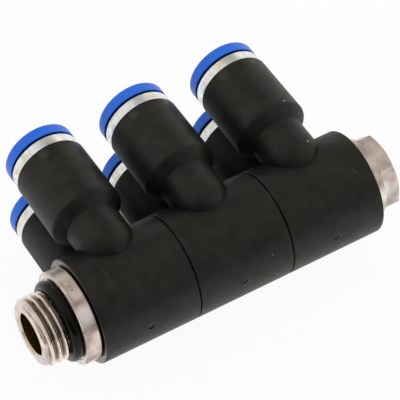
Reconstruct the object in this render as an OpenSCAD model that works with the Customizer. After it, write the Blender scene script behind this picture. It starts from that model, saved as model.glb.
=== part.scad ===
// Air manifold block: swivel bodies with push-in tube outlets, stacked on one hollow stud.
// The stud runs along X from its port thread to the hex end, outlets point along +Y, Z is up.
// The origin is on the stud axis, in the face of the flange that meets the port.
// All sizes are in millimetres.

/* [Port end] */
// Outside diameter of the port thread, G1/4
thread_d = 13.157; // [13.1:0.001:13.2]
// Length from the flange face to the end of the thread
port_len = 6.6; // [6:0.1:9]
// Chamfer at the start of the thread
thread_chamfer = 0.8; // [0.4:0.1:1]
// Diameter of the relief behind the thread
relief_d = 11.1; // [10.6:0.05:11.4]
// Length of the relief in front of the flange face
relief_len = 1.8; // [1.6:0.1:2.4]
// Length of the slope from the thread down to the relief
relief_slope = 0.4; // [0.2:0.1:0.8]
// Diameter of the flange
flange_d = 17.7; // [17.2:0.1:19]
// Width of the flange
flange_w = 3; // [2:0.1:4]
// Chamfer on both rims of the flange
flange_chamfer = 0.25; // [0.1:0.05:0.4]
// Depth of the recess that holds the port seal
recess_depth = 0.2; // [0.1:0.1:0.8]
// Cord thickness of the port seal
port_seal_t = 2.1; // [1.9:0.05:2.4]

/* [Hollow stud] */
// Diameter of the air bore
bore_d = 8; // [6:0.1:8.4]
// Chamfer where the air bore opens
bore_chamfer = 0.35; // [0.1:0.05:0.5]
// Diameter of the shaft that carries the bodies
shaft_d = 13; // [12.6:0.1:13.2]
// Diameter of the cross holes that feed each body
cross_hole_d = 5; // [3:0.1:6]
// Number of cross holes in each body
cross_holes = 4; // [2:1:4]
// Distance of each shaft seal from the outlet plane
shaft_seal_x = 6.2; // [5.5:0.1:6.6]
// Cord thickness of the shaft seals
shaft_seal_t = 1.5; // [1.2:0.05:1.6]
// Side clearance of a shaft seal in its groove
shaft_seal_side = 0.2; // [0.1:0.05:0.3]

/* [End cap] */
// Diameter of the round collar that holds the stack
collar_d = 14; // [13.6:0.1:16]
// Width of that collar
collar_w = 2.2; // [1:0.1:3]
// Width across the flats of the hex
hex_af = 13; // [11:0.1:13.2]
// Length of the hex
hex_len = 3.2; // [2:0.1:6]
// Turn of the hex about the stud
hex_turn = 38; // [0:1:59]
// Length of the spigot that closes the bore
spigot_len = 6.8; // [4:0.1:7]
// Chamfer on the end of the hex
hex_chamfer = 1; // [0.2:0.1:1.2]
// Slope of that chamfer, along the axis for each millimetre of radius
hex_chamfer_slope = 0.58; // [0.4:0.02:1]

/* [Swivel bodies] */
// Outside diameter of the ring
ring_d = 20; // [19.5:0.1:22]
// Width of the ring
ring_w = 19.11; // [18.6:0.01:22]
// Rounding of the ring's edges
ring_round = 0.3; // [0.2:0.05:0.8]
// Diameter of the air space around the cross holes
annulus_d = 15.2; // [14.4:0.1:16]
// Width of that air space
annulus_w = 7; // [5:0.1:8]
// Chamfer at both ends of the ring's bore
ring_chamfer = 0.3; // [0.1:0.05:0.5]
// Shift of the outlets from the middle of the ring, towards the thread
outlet_shift = 0.62; // [0:0.01:1]
// Height of the outlet axes above and below the stud axis
outlet_z = 7.63; // [7.5:0.01:9]
// Diameter of the mark left by the mould gate
gate_d = 1.1; // [0.8:0.1:2]
// Depth of that mark
gate_depth = 0.2; // [0.1:0.05:0.4]
// Turn of that mark about the stud, up from the back
gate_turn = 5; // [0:1:10]

/* [Outlets] */
// Radius of the neck
neck_r = 5.1; // [4.9:0.05:5.3]
// Radius of the curve that draws the neck in to its end
dome_r = 6.5; // [6.2:0.1:7.5]
// Where that curve starts, from the stud axis
dome_start = 6.1; // [6:0.1:6.8]
// Radius of the flat end of the neck, inside the ring
dome_flat_r = 1.5; // [1:0.1:2]
// Distance of the full housing from the stud axis
housing_start = 12.55; // [12.2:0.05:13]
// Angle that the shoulder's cone makes with the outlet axis
shoulder_angle = 45; // [42:1:52]
// Rounding of the shoulder's outer edge
shoulder_round = 0.8; // [0.4:0.05:1.2]
// Radius of the housing at its shoulder
housing_r = 7; // [6.8:0.05:7.3]
// Radius of the housing at its mouth
mouth_r = 6.9; // [6.8:0.05:7]
// Distance of the mouth from the stud axis
mouth_y = 25.2; // [25:0.05:27]
// Chamfer on the outer rim of the mouth
mouth_chamfer = 0.3; // [0.1:0.05:0.5]
// Radius of the air passage behind the tube stop
passage_r = 2.1; // [1.5:0.05:2.4]
// Where the air passage begins
passage_start = 2.2; // [2:0.1:3]
// Where the tube stops
tube_stop = 12; // [11.5:0.1:13]

/* [Tube fitting] */
// Outside diameter of the tube
tube_d = 6; // [5.6:0.1:6.2]
// Radial clearance around the tube
tube_fit = 0.1; // [0.06:0.01:0.12]
// Length of the socket that guides the tube
socket_len = 4.5; // [3:0.1:5]
// Radius of the space for the tube seal
seal_r = 4.6; // [4.4:0.05:4.8]
// Length of that space
seal_len = 2.5; // [2:0.1:3]
// Radius of the space for the claw and the guide ring
cage_r = 5.4; // [5.2:0.05:5.6]
// Length of the room for the claw
claw_room = 2; // [1.7:0.1:2.2]
// Thickness of the claw's spring steel
claw_t = 0.35; // [0.2:0.05:0.45]
// How far the claw's teeth lean inwards along the tube
claw_lean = 1; // [0.6:0.1:1.2]
// Number of teeth on the claw
claw_teeth = 8; // [6:1:12]
// Width of the slots between the teeth
claw_slot = 0.5; // [0.3:0.05:0.8]
// Length of the guide ring that shows outside the housing
guide_out = 1.95; // [1.2:0.05:2.6]
// Radius of the guide ring outside the housing
guide_r = 6.75; // [6.4:0.05:6.8]
// Radius of the release ring's sleeve
sleeve_r = 4.2; // [4:0.05:4.4]
// Radius of the release ring's flange
release_r = 6.75; // [6:0.05:6.8]
// Thickness of that flange
release_t = 2.25; // [1.4:0.05:2.4]
// Travel of the release ring
release_travel = 0.5; // [0.3:0.05:0.6]
// Rounding of the flange's outer rim
release_round = 0.45; // [0.2:0.05:0.6]
// Chamfer under the flange's rim
release_under = 0.1; // [0.05:0.05:0.4]
// Height of the snap lip on the inner end of the sleeve
lip_h = 0.3; // [0.15:0.05:0.4]
// Length of that snap lip
lip_len = 0.5; // [0.3:0.05:0.6]

/* [Fits] */
// Running clearance between the shaft and a ring's bore
shaft_fit = 0.05; // [0.02:0.01:0.08]
// Clearance between neighbours along the stud
axial_gap = 0.12; // [0.08:0.01:0.2]
// Running clearance between a release ring and its guide ring
sleeve_fit = 0.06; // [0.03:0.01:0.09]
// Clearance of a seal or claw in its seat
seat_fit = 0.05; // [0.02:0.01:0.08]

/* [Hidden] */
$fn = 48;
bodies = 3;
cut = 1;
pitch = ring_w + axial_gap;
stack_start = flange_w + axial_gap;
shaft_end = stack_start + bodies * pitch;
ring_r = ring_d / 2;
ring_bore_r = shaft_d / 2 + shaft_fit;
recess_r = relief_d / 2 + port_seal_t + 3 * seat_fit;
groove_r = ring_bore_r - shaft_seal_t - seat_fit;
groove_w = shaft_seal_t + 2 * shaft_seal_side;
hex_r = hex_af / 2 / cos(30);
hex_start = shaft_end + collar_w;
hex_end = hex_start + hex_len;
tube_r = tube_d / 2 + tube_fit;
dome_y = dome_start - sqrt(pow(dome_r, 2) - pow(dome_flat_r + dome_r - neck_r, 2));
shoulder_edge_r = housing_r - shoulder_round;
cone_top_r = shoulder_edge_r + shoulder_round * cos(shoulder_angle);
cone_top_y = housing_start - shoulder_round * sin(shoulder_angle);
cone_y = cone_top_y - (cone_top_r - neck_r) / tan(shoulder_angle);
seal_y = tube_stop + socket_len;
claw_y = seal_y + seal_len;
lip_y = claw_y + claw_room + release_travel;
guide_y = lip_y + lip_len;
guide_end = mouth_y + guide_out;
release_y = guide_end + release_travel;
release_end = release_y + release_t;
shade = [0.16, 0.16, 0.155];
nickel = [0.80, 0.77, 0.74];
blue = [0.16, 0.38, 0.82];
rubber = [0.05, 0.05, 0.05];
steel = [0.72, 0.72, 0.73];

function ring_start(i) = stack_start + (i - 1) * pitch;
function outlet_x(i) = ring_start(i) + ring_w / 2 - outlet_shift;

// A turned shape about the stud: profile points are [radius, x]
module turned_on_stud() {
  rotate([0, 90, 0])
    rotate_extrude()
      children();
}

// A turned shape about one outlet: profile points are [radius, y], side is 1 above and -1 below
module turned_on_outlet(i, side) {
  translate([outlet_x(i), 0, side * outlet_z])
    rotate([-90, 0, 0])
      rotate_extrude()
        children();
}

// One turned piece: port thread, flange with its seal recess, and the hollow shaft
module hollow_stud() {
  thread_r = thread_d / 2;
  bore_r = bore_d / 2;
  flange_r = flange_d / 2;
  color(nickel)
    difference() {
      turned_on_stud()
        polygon([
          [bore_r + bore_chamfer, -port_len],
          [thread_r - thread_chamfer, -port_len],
          [thread_r, thread_chamfer - port_len],
          [thread_r, -relief_len - relief_slope],
          [relief_d / 2, -relief_len],
          [relief_d / 2, recess_depth],
          [recess_r, recess_depth],
          [recess_r, 0],
          [flange_r - flange_chamfer, 0],
          [flange_r, flange_chamfer],
          [flange_r, flange_w - flange_chamfer],
          [flange_r - flange_chamfer, flange_w],
          [shaft_d / 2, flange_w],
          [shaft_d / 2, shaft_end],
          [bore_r, shaft_end],
          [bore_r, bore_chamfer - port_len]
        ]);
      for (i = [1 : bodies])
        for (side = [-1, 1])
          shaft_groove(outlet_x(i) + side * shaft_seal_x);
      for (i = [1 : bodies])
        for (k = [0 : cross_holes - 1])
          translate([outlet_x(i), 0, 0])
            rotate([k * 360 / cross_holes, 0, 0])
              cylinder(d = cross_hole_d, h = shaft_d);
    }
}

module shaft_groove(x) {
  turned_on_stud()
    translate([groove_r, x - groove_w / 2])
      square([shaft_d, groove_w]);
}

// Screwed into the far end of the stud; its collar holds the stack
module end_cap() {
  color(nickel) {
    turned_on_stud()
      polygon([
        [0, shaft_end - spigot_len],
        [bore_d / 2 - seat_fit, shaft_end - spigot_len],
        [bore_d / 2 - seat_fit, shaft_end],
        [collar_d / 2, shaft_end],
        [collar_d / 2, hex_start],
        [0, hex_start]
      ]);
    intersection() {
      translate([hex_start, 0, 0])
        rotate([hex_turn, 0, 0])
          rotate([0, 90, 0])
            cylinder(r = hex_r, h = hex_len, $fn = 6);
      turned_on_stud()
        polygon([
          [0, hex_start - cut],
          [hex_r + cut, hex_start - cut],
          [hex_r + cut, hex_end - (hex_chamfer + cut) * hex_chamfer_slope],
          [hex_r - hex_chamfer, hex_end],
          [0, hex_end]
        ]);
    }
  }
}

module port_seal() {
  color(rubber)
    turned_on_stud()
      translate([relief_d / 2 + seat_fit + port_seal_t / 2, recess_depth - port_seal_t / 2])
        circle(d = port_seal_t, $fn = 24);
}

module shaft_seal(i, side) {
  color(rubber)
    turned_on_stud()
      translate([ring_bore_r - seat_fit / 2 - shaft_seal_t / 2, outlet_x(i) + side * shaft_seal_x])
        circle(d = shaft_seal_t, $fn = 24);
}

// The ring around the stud, with rounded edges
module swivel_ring(i) {
  x0 = ring_start(i);
  x1 = x0 + ring_w;
  difference() {
    turned_on_stud() {
      translate([0, x0 + ring_round])
        square([ring_r, ring_w - 2 * ring_round]);
      translate([0, x0])
        square([ring_r - ring_round, ring_w]);
      for (x = [x0 + ring_round, x1 - ring_round])
        translate([ring_r - ring_round, x])
          circle(r = ring_round, $fn = 24);
    }
    turned_on_stud()
      polygon([
        [0, x0 - cut],
        [ring_bore_r + ring_chamfer + cut, x0 - cut],
        [ring_bore_r, x0 + ring_chamfer],
        [ring_bore_r, x1 - ring_chamfer],
        [ring_bore_r + ring_chamfer + cut, x1 + cut],
        [0, x1 + cut]
      ]);
  }
}

// Outer form of one outlet: domed neck, cone-shaped shoulder with a rounded edge, and tapered housing
module outlet_form(i, side) {
  turned_on_outlet(i, side) {
    intersection() {
      translate([neck_r - dome_r, dome_start])
        circle(r = dome_r, $fn = 96);
      translate([0, dome_y])
        square([neck_r, dome_start - dome_y]);
    }
    translate([0, dome_start])
      square([neck_r, housing_start - dome_start]);
    intersection() {
      translate([shoulder_edge_r, housing_start])
        circle(r = shoulder_round, $fn = 48);
      translate([shoulder_edge_r, cone_top_y])
        square([shoulder_round, housing_start - cone_top_y]);
    }
    polygon([
      [0, cone_y],
      [neck_r, cone_y],
      [cone_top_r, cone_top_y],
      [shoulder_edge_r, housing_start],
      [0, housing_start]
    ]);
    polygon([
      [0, housing_start],
      [housing_r, housing_start],
      [mouth_r, mouth_y - mouth_chamfer],
      [mouth_r - mouth_chamfer, mouth_y],
      [0, mouth_y]
    ]);
  }
}

// Air passage, tube socket, seal space and the seat of the guide ring
module outlet_bore(i, side) {
  turned_on_outlet(i, side)
    polygon([
      [0, passage_start],
      [passage_r, passage_start],
      [passage_r, tube_stop],
      [tube_r, tube_stop],
      [tube_r, seal_y],
      [seal_r, seal_y],
      [seal_r, claw_y],
      [cage_r, claw_y],
      [cage_r, mouth_y + cut],
      [0, mouth_y + cut]
    ]);
}

// One moulding: ring, two outlets and the air space that joins them
module swivel_body(i) {
  color(shade)
    difference() {
      union() {
        swivel_ring(i);
        for (side = [-1, 1])
          outlet_form(i, side);
      }
      turned_on_stud()
        translate([0, ring_start(i) + ring_chamfer])
          square([ring_bore_r, ring_w - 2 * ring_chamfer]);
      turned_on_stud()
        translate([0, outlet_x(i) - annulus_w / 2])
          square([annulus_d / 2, annulus_w]);
      for (side = [-1, 1])
        outlet_bore(i, side);
      rotate([-gate_turn, 0, 0])
        translate([outlet_x(i), gate_depth - ring_r, 0])
          rotate([90, 0, 0])
            cylinder(d = gate_d, h = ring_r);
    }
}

// Lip seal around the tube
module tube_seal(i, side) {
  color(rubber)
    turned_on_outlet(i, side)
      polygon([
        [tube_r, seal_y + seat_fit],
        [seal_r - seat_fit, seal_y + seat_fit],
        [seal_r - seat_fit, claw_y - seat_fit],
        [(seal_r + tube_r) / 2, claw_y - seal_len / 2],
        [tube_r, claw_y - seat_fit]
      ]);
}

// Spring steel ring with teeth that lean in around the tube
module claw(i, side) {
  tip_y = claw_y + seat_fit;
  root_y = tip_y + claw_lean;
  root_r = cage_r - seat_fit;
  color(steel)
    difference() {
      turned_on_outlet(i, side)
        polygon([
          [root_r, root_y],
          [root_r, root_y + claw_t],
          [seal_r, root_y + claw_t],
          [tube_r, tip_y + claw_t],
          [tube_r, tip_y],
          [seal_r, root_y]
        ]);
      for (k = [0 : claw_teeth - 1])
        translate([outlet_x(i), claw_y - cut, side * outlet_z])
          rotate([0, (k + 0.5) * 360 / claw_teeth, 0])
            translate([0, 0, -claw_slot / 2])
              cube([seal_r, claw_room + 2 * cut, claw_slot]);
    }
}

// Plated ring pressed into the mouth of the housing
module guide_ring(i, side) {
  inner_r = sleeve_r + sleeve_fit;
  color(nickel)
    turned_on_outlet(i, side)
      polygon([
        [inner_r, guide_y],
        [cage_r - seat_fit / 2, guide_y],
        [cage_r - seat_fit / 2, mouth_y],
        [guide_r, mouth_y],
        [guide_r, guide_end - mouth_chamfer / 2],
        [guide_r - mouth_chamfer / 2, guide_end],
        [inner_r, guide_end]
      ]);
}

// Sleeve and flange that free the tube when pressed in
module release_ring(i, side) {
  round_y = release_end - release_round;
  color(blue)
    turned_on_outlet(i, side) {
      polygon([
        [tube_r, lip_y],
        [sleeve_r, lip_y],
        [sleeve_r + lip_h, lip_y + lip_len / 2],
        [sleeve_r, guide_y],
        [sleeve_r, release_y],
        [release_r - release_under, release_y],
        [release_r, release_y + release_under],
        [release_r, round_y],
        [release_r - release_round, release_end],
        [tube_r + release_round, release_end],
        [tube_r, round_y]
      ]);
      for (r = [tube_r + release_round, release_r - release_round])
        translate([r, round_y])
          circle(r = release_round, $fn = 48);
    }
}

hollow_stud();
end_cap();
port_seal();
shaft_seal(1, -1);  // shaft_seal_1
shaft_seal(1, 1);  // shaft_seal_2
shaft_seal(2, -1);  // shaft_seal_3
shaft_seal(2, 1);  // shaft_seal_4
shaft_seal(3, -1);  // shaft_seal_5
shaft_seal(3, 1);  // shaft_seal_6
swivel_body(1);  // swivel_body_1
swivel_body(2);  // swivel_body_2
swivel_body(3);  // swivel_body_3
tube_seal(1, 1);  // tube_seal_1_top
tube_seal(2, 1);  // tube_seal_2_top
tube_seal(3, 1);  // tube_seal_3_top
tube_seal(1, -1);  // tube_seal_1_low
tube_seal(2, -1);  // tube_seal_2_low
tube_seal(3, -1);  // tube_seal_3_low
claw(1, 1);  // claw_1_top
claw(2, 1);  // claw_2_top
claw(3, 1);  // claw_3_top
claw(1, -1);  // claw_1_low
claw(2, -1);  // claw_2_low
claw(3, -1);  // claw_3_low
guide_ring(1, 1);  // guide_ring_1_top
guide_ring(2, 1);  // guide_ring_2_top
guide_ring(3, 1);  // guide_ring_3_top
guide_ring(1, -1);  // guide_ring_1_low
guide_ring(2, -1);  // guide_ring_2_low
guide_ring(3, -1);  // guide_ring_3_low
release_ring(1, 1);  // release_ring_1_top
release_ring(2, 1);  // release_ring_2_top
release_ring(3, 1);  // release_ring_3_top
release_ring(1, -1);  // release_ring_1_low
release_ring(2, -1);  // release_ring_2_low
release_ring(3, -1);  // release_ring_3_low
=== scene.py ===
"""Looks of the air manifold: plated stud, moulded swivel bodies, release rings, floor, light and camera."""
import math

import bpy
from mathutils import Matrix, Vector


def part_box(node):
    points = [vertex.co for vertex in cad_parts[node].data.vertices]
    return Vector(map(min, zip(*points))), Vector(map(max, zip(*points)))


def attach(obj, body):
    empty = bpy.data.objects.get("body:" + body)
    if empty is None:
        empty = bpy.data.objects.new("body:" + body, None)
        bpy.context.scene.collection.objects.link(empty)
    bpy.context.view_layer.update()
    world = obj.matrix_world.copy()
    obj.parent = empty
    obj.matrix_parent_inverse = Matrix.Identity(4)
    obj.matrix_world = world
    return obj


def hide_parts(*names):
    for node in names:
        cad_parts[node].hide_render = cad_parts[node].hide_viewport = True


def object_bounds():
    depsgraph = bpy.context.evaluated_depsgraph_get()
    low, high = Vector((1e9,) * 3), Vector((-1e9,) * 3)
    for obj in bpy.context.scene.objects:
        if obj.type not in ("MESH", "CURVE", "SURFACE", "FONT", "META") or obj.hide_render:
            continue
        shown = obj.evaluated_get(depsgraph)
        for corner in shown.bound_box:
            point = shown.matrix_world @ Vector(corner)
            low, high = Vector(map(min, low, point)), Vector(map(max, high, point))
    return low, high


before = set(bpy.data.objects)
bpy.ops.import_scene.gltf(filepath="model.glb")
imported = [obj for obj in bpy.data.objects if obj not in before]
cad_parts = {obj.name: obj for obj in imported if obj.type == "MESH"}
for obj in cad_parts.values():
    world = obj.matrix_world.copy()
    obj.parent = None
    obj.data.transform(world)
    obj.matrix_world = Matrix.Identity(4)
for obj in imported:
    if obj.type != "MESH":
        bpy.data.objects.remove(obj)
cad_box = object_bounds()
MM = 0.001


def linear(hex_code):
    """sRGB hex to the linear colour that shaders take."""
    parts = [int(hex_code[i:i + 2], 16) / 255 for i in (1, 3, 5)]
    return [p / 12.92 if p <= 0.04045 else ((p + 0.055) / 1.055) ** 2.4 for p in parts] + [1.0]


def metres(sizes):
    """Millimetres to Blender's metres."""
    return [size * MM for size in sizes]


def per_metre(size):
    """Texture scale at which one feature of a pattern is about this many millimetres across."""
    return 1 / (size * MM)


def ends(node_name, axis):
    """Lowest and highest place of a CAD node along axis x, y or z, in millimetres."""
    return [round(corner["xyz".index(axis)] / MM, 3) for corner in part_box(node_name)]


def add(tree, kind, *values, out=None, stops=(), **named):
    """Adds one node and returns an output: the first in use, unless out names another. Values fill its
    sockets in order. A name with capitals is a socket, with _ for a space, and one in small letters is a
    setting. A socket takes a value or another node's output. Stops are the (position, hex) pairs of a
    colour ramp."""
    node = tree.nodes.new("ShaderNode" + kind)
    for name, setting in named.items():
        if name.islower():
            setattr(node, name, setting)
    sockets = [socket for socket in node.inputs if socket.enabled]
    pairs = list(zip(sockets, values))
    for name, value in named.items():
        if not name.islower():
            pairs.append((next(s for s in sockets if s.name == name.replace("_", " ")), value))
    for socket, value in pairs:
        if isinstance(value, bpy.types.NodeSocket):
            tree.links.new(value, socket)
        else:
            socket.default_value = value
    while stops and len(node.color_ramp.elements) < len(stops):
        node.color_ramp.elements.new(0.5)
    for step, (position, hex_code) in enumerate(stops):
        node.color_ramp.elements[step].position = position
        node.color_ramp.elements[step].color = linear(hex_code)
    return node.outputs[out] if out else next((s for s in node.outputs if s.enabled), None)


def blank(name):
    """An empty material, its node tree and the piece's own coordinates."""
    material = bpy.data.materials.new(name)
    material.use_nodes = True
    tree = material.node_tree
    tree.nodes.clear()
    return material, tree, add(tree, "TexCoord", out="Object")


# Share of a mark's radius within which it is full
MARK_CORE = 0.3


def marked(tree, place, colour, marks):
    """Lays round marks on a colour. Each has a point on the surface, a radius and a hex, and fades out."""
    for point, radius, tint in marks:
        gap = add(tree, "VectorMath", place, metres(point), operation="DISTANCE")
        share = add(tree, "MapRange", gap, MARK_CORE * radius * MM, radius * MM, 1.0, 0.0,
                    interpolation_type="SMOOTHSTEP")
        colour = add(tree, "Mix", share, colour, linear(tint), data_type="RGBA")
    return colour


# Sizes of the stud and its cap, in millimetres. Places along the axis count from the flange's face.

STUD_TIP, STUD_END = ends("hollow_stud", "x")
FLANGE_R = ends("hollow_stud", "z")[1]
FLANGE_W = 3.0
# An edge is a list of points, each with its distance in from the end and what is cut off the radius there
FLANGE_EDGE = [(0.0, 0.3), (0.08, 0.13), (0.25, 0.0)]
RECESS_FLOOR = 0.2
RECESS_R = 7.8
RECESS_CHAMFER = 0.05
BORE_R = 4.0
BORE_CHAMFER = 0.35
SHAFT_R = 6.5
SHAFT_SEALS = 6
GROOVE_R = 5.0
GROOVE_HALF = 0.95

THREAD_R = 13.157 / 2
THREAD_PITCH = 1.337
THREAD_DEPTH = 0.856
THREAD_START, THREAD_STOP = -6.5, -1.8
LEAD_R = 5.74
TIP_EDGE = [(0.0, 0.24), (0.04, 0.06)]
NECK_R = 5.55
NECK_START = -1.75
RUNOUT_SLOPE = 2.6

CAP_TIP, HEX_END = ends("end_cap", "x")
HEX_LENGTH = 3.2
HEX_START = HEX_END - HEX_LENGTH
HEX_FLAT_R = 6.5
HEX_CORNER_R = HEX_FLAT_R / math.cos(math.pi / 6)
# Share of a full turn by which the first corner stands above the outlets' side
HEX_TURN = 8 / 360
CORNER_CUT = 1.0
CHAMFER_R = HEX_CORNER_R - CORNER_CUT
CHAMFER_SLOPE = 0.58
SPIGOT_PLAY = 0.05
SPIGOT_R = BORE_R - SPIGOT_PLAY
COLLAR_R = 7.45
COLLAR_CHAMFER = 0.15
COLLAR_EDGE = [(0.12, 0.0), (0.0, 0.1)]

# Marks that show on this one: a point on the surface and a radius, in millimetres, and a colour

SPECKS = [((37.25, -9.24, 3.82), 0.20, "#6c6c68"), ((53.34, 12.73, 14.03), 0.30, "#8e8e8a"),
          ((52.93, 4.08, 11.77), 0.32, "#8e8e8a")]
GATES = [(12.05, -9.94, 1.11), (31.58, -9.98, 0.58), (50.81, -9.97, 0.81)]
# Painted reflections: faint pale patches near each mouth's rim at the top left
MOUTH_REFLECTIONS = [(10.12, 23.8, 14.36), (28.54, 23.76, 14.07), (47.23, 23.65, 13.81)]
# Painted glints: pale spots at the right corner of two mouths' rims
MOUTH_GLINTS = [((35.4, 24.1, 13.2), 1.0, "#464644"), ((53.7, 24.1, 13.8), 1.0, "#363634")]
SCRATCH_START, SCRATCH_STEP = Vector((57.4, -3.55, 9.35)), Vector((0.05, -0.2, -0.09))
SCRATCH_STEPS = 6

# The gates get a paler tint: painted light that lifts the shade in their recesses
BODY_MARKS_AND_GLINTS = SPECKS + [(gate, 0.9, "#353531") for gate in GATES]
BODY_MARKS_AND_GLINTS += [(reflection_point, 1.3, "#272725") for reflection_point in MOUTH_REFLECTIONS] + MOUTH_GLINTS
BODY_MARKS_AND_GLINTS += [(SCRATCH_START + k * SCRATCH_STEP, 0.3, "#262624") for k in range(SCRATCH_STEPS)]

# The first mark is a painted highlight on the flange's rim where it faces up towards the front. The others
# are paler patches along the rim's top, a pit on the rim, a stain at the flange's front edge and a pale patch
# low on the collar and hex
PLATING_MARKS_AND_HIGHLIGHT = [((1.5, -5.69, 6.78), 2.4, "#fff6f8"), ((1.5, 2.2, 8.55), 2.4, "#dfd2cb"),
                 ((1.7, -2.1, 8.6), 1.6, "#e6d8cd"), ((1.18, 0.4, 8.84), 1.0, "#d6c3b4"),
                 ((1.18, 0.4, 8.84), 0.6, "#f0e2d7"), ((1.45, -1.21, 8.77), 0.22, "#4a3a30"),
                 ((0.0, -7.49, 4.71), 0.3, "#57483c"), ((62.85, -6.85, 2.5), 2.6, "#f1eadf")]

# Ambient occlusion of the mouldings at which a place counts as a hollow, given painted shade, and as open
HOLLOW, OPEN = 0.45, 0.97
# Places along the axis between which the first body's flat end gives way to its edge, in millimetres
FLAT_END = (3.13, 3.18)
# Rub marks are drawn out along the outlets, where their pattern's scale is the smallest
RUB_SCALE = (1.0, 0.35, 0.8)


def moulded_pbt():
    """Glass-filled PBT from a lightly eroded mould: near-black, satin and blotchy, with faint grey rub marks
    and a fine grain, drawn coarser than it is so that it shows. Hollows get painted shade: their sheen is
    tinted darker and their coat fades with ambient occlusion. The flat end at the flange comes off a polished
    face and shines more."""
    material, tree, place = blank("moulded black PBT")
    cloud = add(tree, "TexNoise", Vector=place, Scale=per_metre(4.5), Detail=4)
    grain = add(tree, "TexNoise", Vector=place, Scale=per_metre(0.3), Detail=3)
    blotch = add(tree, "TexNoise", Vector=place, Scale=per_metre(2.2), Detail=3)
    stretched = add(tree, "Mapping", Vector=place, Scale=RUB_SCALE)
    rubs = add(tree, "TexNoise", Vector=stretched, Scale=per_metre(1.4), Detail=5)
    rubbed = add(tree, "MapRange", rubs, 0.60, 0.80, 0.0, 1.0)
    colour = add(tree, "ValToRGB", cloud, stops=[(0.3, "#0e0e0c"), (0.7, "#141311")])
    colour = add(tree, "Mix", rubbed, colour, linear("#20201e"), data_type="RGBA")
    # Specks and a scratch, with painted light on the gates and painted reflections and glints by the mouths
    colour = marked(tree, place, colour, BODY_MARKS_AND_GLINTS)
    flat_end = add(tree, "MapRange", add(tree, "SeparateXYZ", place, out="X"), *metres(FLAT_END), 1.0, 0.0)
    open_share = add(tree, "AmbientOcclusion", Distance=9 * MM, samples=8, out="AO")
    # Painted shade: in hollows the sheen's tint darkens and the coat fades with ambient occlusion; the flat
    # end keeps its full sheen
    hollow_shade_tint = add(tree, "ValToRGB", open_share, stops=[(HOLLOW, "#676767"), (OPEN, "#fcfbee")])
    hollow_shade_tint = add(tree, "Mix", flat_end, hollow_shade_tint, linear("#fcfbee"), data_type="RGBA")
    satin = add(tree, "MapRange", cloud, 0.0, 1.0, 0.50, 0.60)
    blotched = add(tree, "MapRange", blotch, 0.3, 0.7, 0.154, 0.286)
    bump = add(tree, "Bump", Height=grain, Strength=0.12, Distance=0.03 * MM)
    shader = add(tree, "BsdfPrincipled", Base_Color=colour, Normal=bump, Specular_Tint=hollow_shade_tint,
                 Roughness=add(tree, "MapRange", flat_end, 0.0, 1.0, satin, 0.16),
                 Specular_IOR_Level=add(tree, "MapRange", flat_end, 0.0, 1.0, blotched, 1.0),
                 Coat_Weight=add(tree, "MapRange", open_share, HOLLOW, OPEN, 0.0, 0.24), Coat_Roughness=0.32)
    add(tree, "OutputMaterial", shader)
    return material


# Where the stud's plating changes, as (from, to) in millimetres: radii first, then places along the axis
ROOT_BAND = (5.75, 6.45)
RIM_BAND = (8.2, 8.6)
BORE_BAND = (4.1, 4.3)
THREAD_BAND = (-1.8, -1.6)
LEAD_BAND = (-6.0, -5.6)
TIP_BAND = (-5.9, -5.5)
CAP_BAND = (60.6, 60.9)
BORE_END_BAND = (60.8, 60.9)


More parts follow.
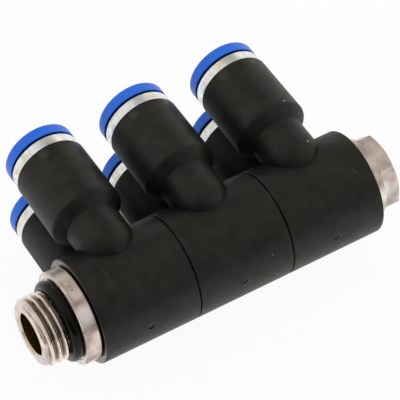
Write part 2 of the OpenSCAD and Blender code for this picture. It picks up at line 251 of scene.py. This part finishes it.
def stud_nickel():
    """Nickel over turned brass: warm silver, satin, cloudy and lightly stained, with a painted highlight on
    the flange's rim and turning lines drawn coarse enough to show. The brass shows through as an olive tint
    in the thread's roots and as straw down the bore. Rim, tip and hex are dulled by handling, with a violet
    to straw film."""
    material, tree, place = blank("nickel-plated turned brass")
    cloud = add(tree, "TexNoise", Vector=place, Scale=per_metre(1.6), Detail=5)
    turning = add(tree, "TexWave", Vector=place, Scale=per_metre(0.25) / math.tau, Distortion=0.6, Detail=2,
                  out="Fac")
    film = add(tree, "TexNoise", Vector=place, Scale=per_metre(4), Detail=3)
    film = add(tree, "ValToRGB", film, stops=[(0.36, "#b7aeb4"), (0.50, "#dcd4d0"), (0.62, "#fbf5e8")])
    parts = add(tree, "SeparateXYZ", place).node.outputs
    x = parts["X"]
    across = add(tree, "CombineXYZ", Y=parts["Y"], Z=parts["Z"])
    radius = add(tree, "VectorMath", across, operation="LENGTH")
    on_thread = add(tree, "MapRange", x, *metres(THREAD_BAND), 1.0, 0.0)
    behind_lead = add(tree, "MapRange", x, *metres(LEAD_BAND), 0.0, 1.0)
    root = add(tree, "MapRange", radius, *metres(ROOT_BAND), 0.88, 0.0)
    root = add(tree, "Math", root, on_thread, operation="MULTIPLY")
    root = add(tree, "Math", root, behind_lead, operation="MULTIPLY")
    on_rim = add(tree, "MapRange", radius, *metres(RIM_BAND), 0.0, 1.0)
    on_tip = add(tree, "MapRange", x, *metres(TIP_BAND), 0.6, 0.0)
    handled = add(tree, "MapRange", x, *metres(CAP_BAND), on_rim, 0.65)
    handled = add(tree, "Math", handled, on_tip, operation="MAXIMUM")
    in_bore = add(tree, "MapRange", radius, *metres(BORE_BAND), 1.0, 0.0)
    in_bore = add(tree, "MapRange", x, *metres(BORE_END_BAND), in_bore, 0.0)
    colour = add(tree, "ValToRGB", cloud, stops=[(0.32, "#dccdc5"), (0.50, "#ecdfd9"), (0.68, "#f6ece8")])
    colour = add(tree, "Mix", handled, colour, film, data_type="RGBA", blend_type="MULTIPLY")
    colour = add(tree, "Mix", root, colour, linear("#6c5c42"), data_type="RGBA")
    colour = add(tree, "Mix", in_bore, colour, linear("#d2bf98"), data_type="RGBA")
    # Stains, a pit, paler patches and a painted highlight on the flange's rim
    colour = marked(tree, place, colour, PLATING_MARKS_AND_HIGHLIGHT)
    satin = add(tree, "MapRange", cloud, 0.3, 0.7, 0.40, 0.28)
    bump = add(tree, "Bump", Height=turning, Strength=0.12, Distance=0.02 * MM)
    shader = add(tree, "BsdfPrincipled", Base_Color=colour, Metallic=1.0, Normal=bump,
                 Roughness=add(tree, "MapRange", on_thread, 0.0, 1.0, satin, 0.18))
    add(tree, "OutputMaterial", shader)
    return material


def guide_nickel():
    """Bright nickel on a pressed brass ring: cool white, with the fine mottling of a tumbled part and
    patches of straw."""
    material, tree, place = blank("bright nickel-plated brass")
    mottle = add(tree, "TexNoise", Vector=place, Scale=per_metre(0.8), Detail=4)
    straw = add(tree, "TexNoise", Vector=place, Scale=per_metre(2.6), Detail=2)
    straw = add(tree, "ValToRGB", straw, stops=[(0.46, "#ffffff"), (0.64, "#f2e8d7")])
    colour = add(tree, "ValToRGB", mottle, stops=[(0.30, "#dfe3e5"), (0.60, "#f6f8f9")])
    colour = add(tree, "Mix", 1.0, colour, straw, data_type="RGBA", blend_type="MULTIPLY")
    bump = add(tree, "Bump", Height=mottle, Strength=0.25, Distance=0.03 * MM)
    shader = add(tree, "BsdfPrincipled", Base_Color=colour, Metallic=1.0, Normal=bump,
                 Roughness=add(tree, "MapRange", mottle, 0.3, 0.7, 0.36, 0.24))
    add(tree, "OutputMaterial", shader)
    return material


def moulded_pom():
    """Coloured POM: strong blue, smooth and slightly waxy, with painted shade that turns it navy down in its
    slot.
    Its mould's fine grain is drawn coarser than it is so that it shows."""
    material, tree, place = blank("moulded blue POM")
    cloud = add(tree, "TexNoise", Vector=place, Scale=per_metre(2.5), Detail=3)
    grain = add(tree, "TexNoise", Vector=place, Scale=per_metre(0.3), Detail=2)
    open_share = add(tree, "AmbientOcclusion", Distance=1.2 * MM, samples=8, out="AO")
    # Painted shade: the blue turns navy where ambient occlusion is low, down in the slot
    slot_shade = add(tree, "MapRange", open_share, 0.35, 0.8, 1.0, 0.0)
    colour = add(tree, "ValToRGB", cloud, stops=[(0.3, "#0a62dd"), (0.7, "#0f6ce8")])
    colour = add(tree, "Mix", slot_shade, colour, linear("#02205f"), data_type="RGBA")
    bump = add(tree, "Bump", Height=grain, Strength=0.08, Distance=0.02 * MM)
    shader = add(tree, "BsdfPrincipled", Base_Color=colour, Normal=bump, IOR=1.48,
                 Roughness=add(tree, "MapRange", cloud, 0.0, 1.0, 0.32, 0.42))
    add(tree, "OutputMaterial", shader)
    return material


def nitrile_rubber():
    """Moulded NBR cord: deep black, smooth enough for a soft line of light along its crown."""
    material, tree, place = blank("moulded NBR")
    bloom = add(tree, "TexNoise", Vector=place, Scale=per_metre(1.6), Detail=4)
    colour = add(tree, "ValToRGB", bloom, stops=[(0.35, "#070706"), (0.7, "#0d0d0c")])
    bump = add(tree, "Bump", Height=bloom, Strength=0.15, Distance=0.02 * MM)
    shader = add(tree, "BsdfPrincipled", Base_Color=colour, Normal=bump, Specular_IOR_Level=0.17,
                 Roughness=add(tree, "MapRange", bloom, 0.0, 1.0, 0.12, 0.20))
    add(tree, "OutputMaterial", shader)
    return material


def spring_steel():
    """Rolled stainless strip: grey and bright, with the faint cloudiness of a rolled face."""
    material, tree, place = blank("rolled stainless steel")
    cloud = add(tree, "TexNoise", Vector=place, Scale=per_metre(0.5), Detail=3)
    colour = add(tree, "ValToRGB", cloud, stops=[(0.3, "#a9aaac"), (0.7, "#c4c5c7")])
    shader = add(tree, "BsdfPrincipled", Base_Color=colour, Metallic=1.0,
                 Roughness=add(tree, "MapRange", cloud, 0.0, 1.0, 0.22, 0.34))
    add(tree, "OutputMaterial", shader)
    return material


# Middle and half size of the ellipse of floor that lies under the part, in millimetres
COVERED_CENTRE = (31, 14, cad_box[0][2] / MM)
COVERED_HALF = (40, 22, 100)


def table_card():
    """Matt white table card, with its fibres drawn coarser than they are so that they show. It is white to
    the eye and pale in reflections, and keeps the soft shadow under the part."""
    material, tree, place = blank("white table card")
    fibre = add(tree, "TexNoise", Vector=place, Scale=per_metre(0.8), Detail=2)
    fibre = add(tree, "ValToRGB", fibre, stops=[(0.3, "#f4f4f4"), (0.7, "#f8f8f8")])
    card = add(tree, "BsdfDiffuse", Color=fibre)
    white = add(tree, "Emission", Color=linear("#ffffff"), Strength=1.0)
    around = add(tree, "VectorMath", place, metres(COVERED_CENTRE), operation="SUBTRACT")
    around = add(tree, "VectorMath", around, [per_metre(half) for half in COVERED_HALF], operation="MULTIPLY")
    away = add(tree, "VectorMath", around, operation="LENGTH")
    mirrored = add(tree, "MapRange", away, 0.70, 1.0, 0.15, 0.95)
    seen = add(tree, "MapRange", away, 0.60, 0.70, 0.0, 0.93)
    path = add(tree, "LightPath").node.outputs
    share = add(tree, "Math", path["Is Glossy Ray"], mirrored, operation="MULTIPLY")
    share = add(tree, "Math", path["Is Camera Ray"], seen, share, operation="MULTIPLY_ADD")
    add(tree, "OutputMaterial", add(tree, "MixShader", share, card, white))
    return material


PBT = moulded_pbt()
STUD_NICKEL = stud_nickel()
GUIDE_NICKEL = guide_nickel()
POM = moulded_pom()
NBR = nitrile_rubber()
STEEL = spring_steel()

FINISH = {"hollow_stud": STUD_NICKEL, "end_cap": STUD_NICKEL, "swivel_body": PBT, "guide_ring": GUIDE_NICKEL,
          "release_ring": POM, "port_seal": NBR, "shaft_seal": NBR, "tube_seal": NBR, "claw": STEEL}

for node_name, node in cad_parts.items():
    finish = next(material for kind, material in FINISH.items() if node_name.startswith(kind))
    node.data.materials.clear()
    node.data.materials.append(finish)

# Turned pieces

TURN_STEPS = 144
SHARP_ANGLE = math.radians(32)


def mesh_object(name, verts, faces, finish):
    """A new smooth mesh piece, sharp where its faces meet at more than the sharp angle."""
    mesh = bpy.data.meshes.new(name)
    mesh.from_pydata(verts, [], faces)
    mesh.polygons.foreach_set("use_smooth", [True] * len(mesh.polygons))
    mesh.set_sharp_from_angle(angle=SHARP_ANGLE)
    mesh.materials.append(finish)
    piece = bpy.data.objects.new(name, mesh)
    bpy.context.scene.collection.objects.link(piece)
    return piece


def turned_about_x(name, rows, finish, start=0.0):
    """Turns a closed outline of (x, radius) rows about the stud's axis, from this share of a turn. Either of
    the two may be a function of the turn from there."""
    verts, faces = [], []
    for row in rows:
        for j in range(TURN_STEPS):
            x, r = (value(j / TURN_STEPS) if callable(value) else value for value in row)
            angle = math.tau * (j / TURN_STEPS + start)
            verts.append(metres((x, r * math.cos(angle), r * math.sin(angle))))
    for i in range(len(rows)):
        here, after = i * TURN_STEPS, (i + 1) % len(rows) * TURN_STEPS
        for j in range(TURN_STEPS):
            k = (j + 1) % TURN_STEPS
            faces.append((here + j, after + j, after + k, here + k))
    return mesh_object(name, verts, faces, finish)


# The stud with its cut thread

THREAD_ROWS = 112
# Share of a flank that its crest and its root each take, and how straight the rise between them is
ROUND_SHARE = 0.17
STRAIGHT_SHARE = 0.65


def thread_height(phase):
    """0 at the root and 1 at the crest of a 55 degree thread with rounded crests and roots."""
    flank = 1 - abs(2 * (phase % 1) - 1)
    rise = min(max((flank - ROUND_SHARE) / (1 - 2 * ROUND_SHARE), 0), 1)
    eased = rise * rise * (3 - 2 * rise)
    return STRAIGHT_SHARE * rise + (1 - STRAIGHT_SHARE) * eased


def threaded_radius(x, turn):
    """Radius of the cut thread at this place along the stud, in millimetres."""
    return THREAD_R - THREAD_DEPTH * (1 - thread_height(x / THREAD_PITCH - turn))


def thread_row(x):
    """Row of the outline on the thread, which starts on a 45 degree lead and runs out into the neck."""
    lead = LEAD_R + x - THREAD_START
    runout = NECK_R + (THREAD_STOP - x) * RUNOUT_SLOPE
    return x, lambda turn: min(lead, runout, threaded_radius(x, turn))


def stud_rows():
    """Outline of the stud: tip, thread, neck, seal recess, flange and the shaft with its seal grooves."""
    rows = [(STUD_TIP + BORE_CHAMFER, BORE_R), (STUD_TIP, BORE_R + BORE_CHAMFER)]
    rows += [(STUD_TIP + inset, LEAD_R - cut) for inset, cut in TIP_EDGE]
    thread_step = (THREAD_STOP - THREAD_START) / THREAD_ROWS
    rows += [thread_row(THREAD_START + k * thread_step) for k in range(THREAD_ROWS + 1)]
    rows += [(NECK_START, NECK_R), (RECESS_FLOOR, NECK_R), (RECESS_FLOOR, RECESS_R)]
    rows += [(RECESS_CHAMFER, RECESS_R), (0.0, RECESS_R + RECESS_CHAMFER)]
    rows += [(inset, FLANGE_R - cut) for inset, cut in FLANGE_EDGE]
    rows += [(FLANGE_W - inset, FLANGE_R - cut) for inset, cut in reversed(FLANGE_EDGE)]
    rows.append((FLANGE_W, SHAFT_R))
    for k in range(SHAFT_SEALS):
        middle = sum(ends(f"shaft_seal_{k + 1}", "x")) / 2
        before, after = middle - GROOVE_HALF, middle + GROOVE_HALF
        rows += [(before, SHAFT_R), (before, GROOVE_R), (after, GROOVE_R), (after, SHAFT_R)]
    return rows + [(STUD_END, SHAFT_R), (STUD_END, BORE_R)]


stud = turned_about_x("threaded_stud", stud_rows(), STUD_NICKEL)
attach(stud, "stud")
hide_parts("hollow_stud")

# The hex cap, with flats milled into a turned bar


def hex_radius(turn):
    """Distance of the hexagon's side from its axis, with a corner at turn 0."""
    return HEX_FLAT_R / math.cos((turn * 6 % 1 - 0.5) * math.pi / 3)


def chamfer_start(turn):
    """Place along the cap where the chamfer on its outer end begins."""
    return HEX_END - max(hex_radius(turn) - CHAMFER_R, 0) * CHAMFER_SLOPE


def end_radius(turn):
    """Distance of the end face's edge from the axis."""
    return min(hex_radius(turn), CHAMFER_R)


def cap_rows():
    """Outline of the hex cap: spigot, collar, flats and the chamfered end."""
    rows = [(CAP_TIP, 0.0), (CAP_TIP, SPIGOT_R), (STUD_END, SPIGOT_R)]
    rows += [(STUD_END, COLLAR_R - COLLAR_CHAMFER), (STUD_END + COLLAR_CHAMFER, COLLAR_R)]
    rows += [(HEX_START - inset, COLLAR_R - cut) for inset, cut in COLLAR_EDGE]
    rows += [(HEX_START, hex_radius), (chamfer_start, hex_radius)]
    return rows + [(HEX_END, end_radius), (HEX_END, 0.0)]


cap = turned_about_x("hex_cap", cap_rows(), STUD_NICKEL, HEX_TURN)
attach(cap, "stud")
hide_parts("end_cap")

# Floor, in metres

FLOOR_HALF = 3
FLOOR_Z = cad_box[0][2]

corners = [(x * FLOOR_HALF, y * FLOOR_HALF, FLOOR_Z) for x, y in ((-1, -1), (1, -1), (1, 1), (-1, 1))]
floor = mesh_object("floor", corners, [(0, 1, 2, 3)], table_card())

# Light

# Strength of the world on matt surfaces, and where shiny parts mirror none of the places below
PLAIN_LEVEL = 0.88
ROOM_LEVEL = 0.60
# Places in the room that shiny parts mirror: a direction, the angles in degrees within which the place is
# full and beyond which it is gone, and its strength
ROOM = [((0.95, 0.30, 0.10), 25, 75, 0.95), ((-0.65, 0.55, 0.50), 20, 55, 0.85),
        ((-0.50, -0.82, 0.20), 24, 50, 0.06), ((0.28, 0.55, 0.79), 8, 25, 0.40),
        ((0.28, -0.95, 0.05), 5, 14, 0.25)]


def studio_world():
    """A world that is white to the eye, plain on matt surfaces, and a room in what shiny parts mirror."""
    world = bpy.data.worlds.new("studio")
    world.use_nodes = True
    tree = world.node_tree
    tree.nodes.clear()
    toward = add(tree, "TexCoord", out="Generated")
    mirrored = ROOM_LEVEL
    for direction, full, gone, level in ROOM:
        facing = add(tree, "VectorMath", toward, Vector(direction).normalized(), operation="DOT_PRODUCT")
        share = add(tree, "MapRange", facing, math.cos(math.radians(gone)), math.cos(math.radians(full)),
                    interpolation_type="SMOOTHSTEP")
        mirrored = add(tree, "Mix", share, mirrored, level)
    path = add(tree, "LightPath").node.outputs
    strength = add(tree, "Mix", path["Is Glossy Ray"], PLAIN_LEVEL, mirrored)
    strength = add(tree, "Mix", path["Is Camera Ray"], strength, 1.0)
    tint = add(tree, "Mix", path["Is Camera Ray"], linear("#fffdf8"), linear("#ffffff"), data_type="RGBA")
    add(tree, "OutputWorld", add(tree, "Background", Color=tint, Strength=strength))
    return world


bpy.context.scene.world = studio_world()

LAMP_AIM = Vector((0.03, 0.01, 0))


def soft_box(name, place, side, power):
    """A square studio lamp that faces the part, in metres and watts. Shiny parts mirror the room instead."""
    lamp = bpy.data.lights.new(name, "AREA")
    lamp.size = side
    lamp.energy = power
    holder = bpy.data.objects.new(name, lamp)
    bpy.context.scene.collection.objects.link(holder)
    holder.location = place
    holder.visible_glossy = False
    holder.rotation_euler = (LAMP_AIM - Vector(place)).to_track_quat("-Z", "Y").to_euler()


soft_box("right_box", place=(0.91, 0.34, 0.57), side=0.7, power=0.3)
soft_box("front_box", place=(0.31, -0.68, 0.66), side=0.35, power=0.5)

# Camera, fitted to the photo: lengths in millimetres, places in the picture in pixels

VIEW_AZ, VIEW_EL, VIEW_ROLL = (math.radians(angle) for angle in (-31.203, 50.958, 0.109))
VIEW_DISTANCE = 480.03
LOOK_AT = Vector((30.556, 9.259, 0.0))
LOOK_AT_PIXEL = (185.534, 213.657)
PIXELS_PER_MM = 5.557
PICTURE_PIXELS = 400
SENSOR_WIDTH = 36
CLIP_START = 10


def photo_camera():
    """A camera that sees the part as the photo does."""
    flat = math.cos(VIEW_EL)
    back = Vector((math.sin(VIEW_AZ) * flat, -math.cos(VIEW_AZ) * flat, math.sin(VIEW_EL)))
    level = Vector((math.cos(VIEW_AZ), math.sin(VIEW_AZ), 0))
    upright = back.cross(level)
    right = level * math.cos(VIEW_ROLL) + upright * math.sin(VIEW_ROLL)
    up = upright * math.cos(VIEW_ROLL) - level * math.sin(VIEW_ROLL)
    eye = LOOK_AT + back * VIEW_DISTANCE
    over, down = ((PICTURE_PIXELS / 2 - pixel) / PIXELS_PER_MM for pixel in LOOK_AT_PIXEL)
    centre = LOOK_AT + right * over - up * down
    view_back = (eye - centre).normalized()
    view_right = up.cross(view_back).normalized()
    view_up = view_back.cross(view_right)
    camera = bpy.data.cameras.new("camera")
    camera.sensor_width = SENSOR_WIDTH
    camera.lens = PIXELS_PER_MM * VIEW_DISTANCE * SENSOR_WIDTH / PICTURE_PIXELS
    camera.clip_start = CLIP_START * MM
    holder = bpy.data.objects.new("camera", camera)
    bpy.context.scene.collection.objects.link(holder)
    turn = Matrix((view_right, view_up, view_back)).transposed()
    holder.matrix_world = Matrix.Translation(eye * MM) @ turn.to_4x4()
    return holder


bpy.context.scene.camera = photo_camera()
bpy.context.scene.view_settings.view_transform = "Standard"
